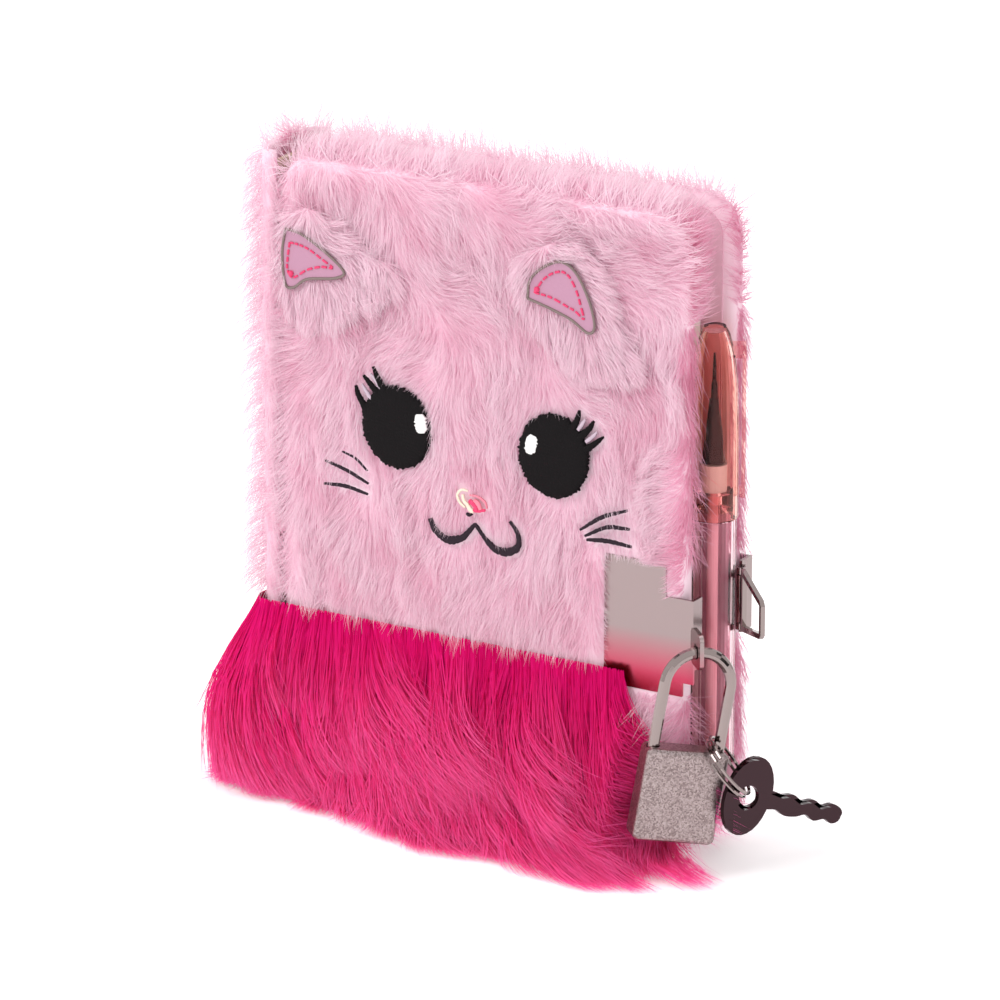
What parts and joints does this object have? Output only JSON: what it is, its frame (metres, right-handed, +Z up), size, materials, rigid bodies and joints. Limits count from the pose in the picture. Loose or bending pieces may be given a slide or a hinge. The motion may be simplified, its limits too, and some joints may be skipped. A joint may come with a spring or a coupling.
{
  "type": "notebook",
  "caption": "Plush notebook standing closed, with a long-fur hem, clasp plates, hasp, hanging padlock, key ring with keys, and a capped pen in the fore-edge.",
  "frame": {"origin": "middle of the bounding box at its base, on the surface the notebook stands on", "axes": "X from the spine to the fore-edge, Y from the front cover to the back cover, Z up"},
  "size_m": [0.1598, 0.0518, 0.162],
  "materials": {
    "plush": "short light pink fur pile",
    "fringe_fur": "long hot-pink fur",
    "foam": "soft wadding",
    "board": "grey board",
    "paper": "uncoated leaves",
    "endpaper": "pink lining paper",
    "cloth": "open binding cloth",
    "satin": "satin stitch",
    "black_thread": "satin-stitched thread",
    "grey_thread": "stitched thread",
    "pink_thread": "stitched thread",
    "polished_nickel": "polished",
    "glitter_nickel": "fine sparkling texture",
    "brass": "plain",
    "dark_nickel": "dark, mirror-like",
    "coral_clear": "clear coral",
    "ink_tube": "clear tube with ink",
    "elastic": "woven elastic",
    "white_plastic": "plain"
  },
  "bodies": {
    "book": {"spine_plush": "plush", "spine_board": "board", "spine_lining": "cloth", "back_plush": "plush", "back_foam": "foam", "back_board": "board", "back_endpaper": "endpaper", "leaves_back": "paper", "fringe_spine": "fringe_fur", "back_clasp_plate": "polished_nickel", "hasp_pin": "polished_nickel", "pen_loop": "elastic"},
    "front_cover": {"front_plush": "plush", "front_foam": "foam", "front_board": "board", "front_endpaper": "endpaper", "fringe_front": "fringe_fur", "eye_left": "black_thread", "eye_right": "black_thread", "nose": "pink_thread", "mouth": "grey_thread", "ear_left": "plush", "ear_right": "plush", "ear_patch_left": "satin", "ear_patch_right": "satin", "front_clasp_plate": "polished_nickel"},
    "front_leaves": {"leaves_front": "paper"},
    "middle_leaves": {"leaves_middle": "paper"},
    "hasp": {"hasp_ring": "polished_nickel"},
    "shackle": {"padlock_shackle": "polished_nickel"},
    "lock_case": {"padlock_case": "glitter_nickel"},
    "lock_plug": {"padlock_plug": "brass"},
    "lock_latch": {"padlock_latch": "brass"},
    "split_ring": {"key_ring": "polished_nickel"},
    "first_key": {"key_front": "dark_nickel"},
    "second_key": {"key_back": "dark_nickel"},
    "pen": {"pen_barrel": "coral_clear", "pen_tail_plug": "coral_clear", "pen_refill": "ink_tube", "pen_collar": "white_plastic", "pen_cone": "dark_nickel", "pen_needle": "dark_nickel"},
    "cap": {"pen_cap": "coral_clear"}
  },
  "joints": [
    {"name": "cover_open", "type": "hinge", "parent": "book", "child": "front_cover", "pos_m": [-0.06166, -0.00665, 0], "axis": [0, 0, -1], "range_deg": [0, 135]},
    {"name": "front_leaves_turn", "type": "hinge", "parent": "book", "child": "front_leaves", "pos_m": [-0.05915, 0.00085, 0], "axis": [0, 0, -1], "range_deg": [0, 68]},
    {"name": "middle_leaves_turn", "type": "hinge", "parent": "book", "child": "middle_leaves", "pos_m": [-0.05915, 0.005, 0], "axis": [0, 0, -1], "range_deg": [0, 34]},
    {"name": "hasp_swing", "type": "hinge", "parent": "book", "child": "hasp", "pos_m": [0.05645, 0.01425, 0.0627], "axis": [0, 0, 1], "range_deg": [0, 98]},
    {"name": "padlock_swing", "type": "hinge", "parent": "front_cover", "child": "shackle", "pos_m": [0.05795, -0.00906, 0.0562], "axis": [0.7071, -0.7071, 0], "range_deg": [-4, 20]},
    {"name": "case_drop", "type": "slide", "parent": "shackle", "child": "lock_case", "axis": [-0.1228, -0.1228, -0.9848], "range_m": [0, 0.0065]},
    {"name": "plug_turn", "type": "hinge", "parent": "lock_case", "child": "lock_plug", "pos_m": [0.05427, -0.01274, 0.01856], "axis": [-0.1228, -0.1228, -0.9848], "range_deg": [0, 90]},
    {"name": "latch_slide", "type": "slide", "parent": "lock_case", "child": "lock_latch", "axis": [-0.6964, -0.6964, 0.1736], "range_m": [0, 0.00226]},
    {"name": "key_ring_swing", "type": "hinge", "parent": "shackle", "child": "split_ring", "pos_m": [0.06187, -0.00514, 0.03291], "axis": [0.1228, 0.1228, 0.9848], "range_deg": [-20, 20]},
    {"name": "key_front_swing", "type": "hinge", "parent": "split_ring", "child": "first_key", "pos_m": [0.06904, -0.00404, 0.02124], "axis": [-0.9336, 0.3584, 0], "range_deg": [-25, 25]},
    {"name": "key_back_swing", "type": "hinge", "parent": "split_ring", "child": "second_key", "pos_m": [0.0677, -0.00182, 0.02126], "axis": [-0.9336, 0.3584, 0], "range_deg": [-25, 25]},
    {"name": "pen_pull", "type": "slide", "parent": "book", "child": "pen", "axis": [0, 0, 1], "range_m": [0, 0.165]},
    {"name": "cap_pull", "type": "slide", "parent": "pen", "child": "cap", "axis": [0, 0, 1], "range_m": [0, 0.05]}
  ],
  "couplings": [
    {"joint": "front_leaves_turn", "follows": "cover_open", "ratio": 0.5},
    {"joint": "middle_leaves_turn", "follows": "cover_open", "ratio": 0.25},
    {"joint": "plug_turn", "follows": "case_drop", "rad_per_m": 241.63},
    {"joint": "latch_slide", "follows": "case_drop", "ratio": 0.34809}
  ]
}
